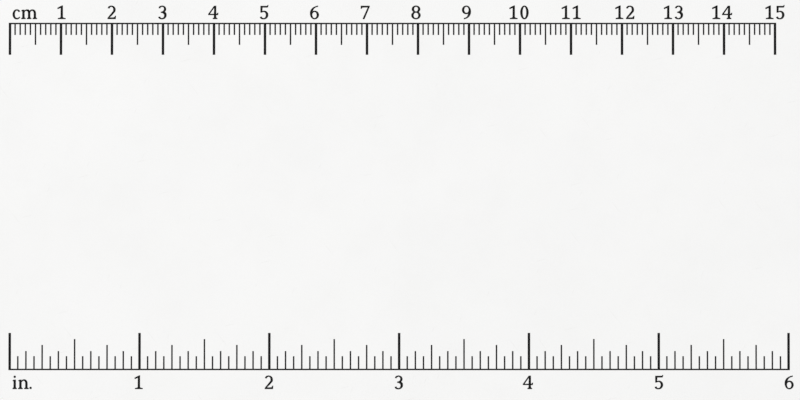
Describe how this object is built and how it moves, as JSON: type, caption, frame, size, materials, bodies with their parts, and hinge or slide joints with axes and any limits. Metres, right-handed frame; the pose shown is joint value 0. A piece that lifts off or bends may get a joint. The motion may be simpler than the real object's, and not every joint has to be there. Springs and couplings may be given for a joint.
{
  "type": "ruler",
  "caption": "Flat white measuring board with a centimetre scale along one long edge and an inch scale along the other, engraved and filled with black.",
  "frame": {"origin": "middle of the board on the surface that its foot pads stand on", "axes": "+X along the scales, away from their zero; +Y towards the centimetre scale; +Z out of the engraved face"},
  "size_m": [0.16, 0.08, 0.0035],
  "materials": {
    "board": "matt white rigid sheet",
    "paint": "black engraving paint",
    "foot_pad": "matt grey elastomer"
  },
  "bodies": {
    "root": {"board": "board", "foot_pad_cm_left": "foot_pad", "foot_pad_cm_right": "foot_pad", "foot_pad_inch_left": "foot_pad", "foot_pad_inch_right": "foot_pad", "cm_line": "paint", "millimetre_marks": "paint", "half_centimetre_marks": "paint", "centimetre_marks": "paint", "cm_sign": "paint", "cm_numeral_1": "paint", "cm_numeral_2": "paint", "cm_numeral_3": "paint", "cm_numeral_4": "paint", "cm_numeral_5": "paint", "cm_numeral_6": "paint", "cm_numeral_7": "paint", "cm_numeral_8": "paint", "cm_numeral_9": "paint", "cm_numeral_10": "paint", "cm_numeral_11": "paint", "cm_numeral_12": "paint", "cm_numeral_13": "paint", "cm_numeral_14": "paint", "cm_numeral_15": "paint", "inch_line": "paint", "sixteenth_inch_marks": "paint", "eighth_inch_marks": "paint", "quarter_inch_marks": "paint", "half_inch_marks": "paint", "inch_marks": "paint", "inch_sign": "paint", "inch_numeral_1": "paint", "inch_numeral_2": "paint", "inch_numeral_3": "paint", "inch_numeral_4": "paint", "inch_numeral_5": "paint", "inch_numeral_6": "paint"}
  },
  "joints": []
}
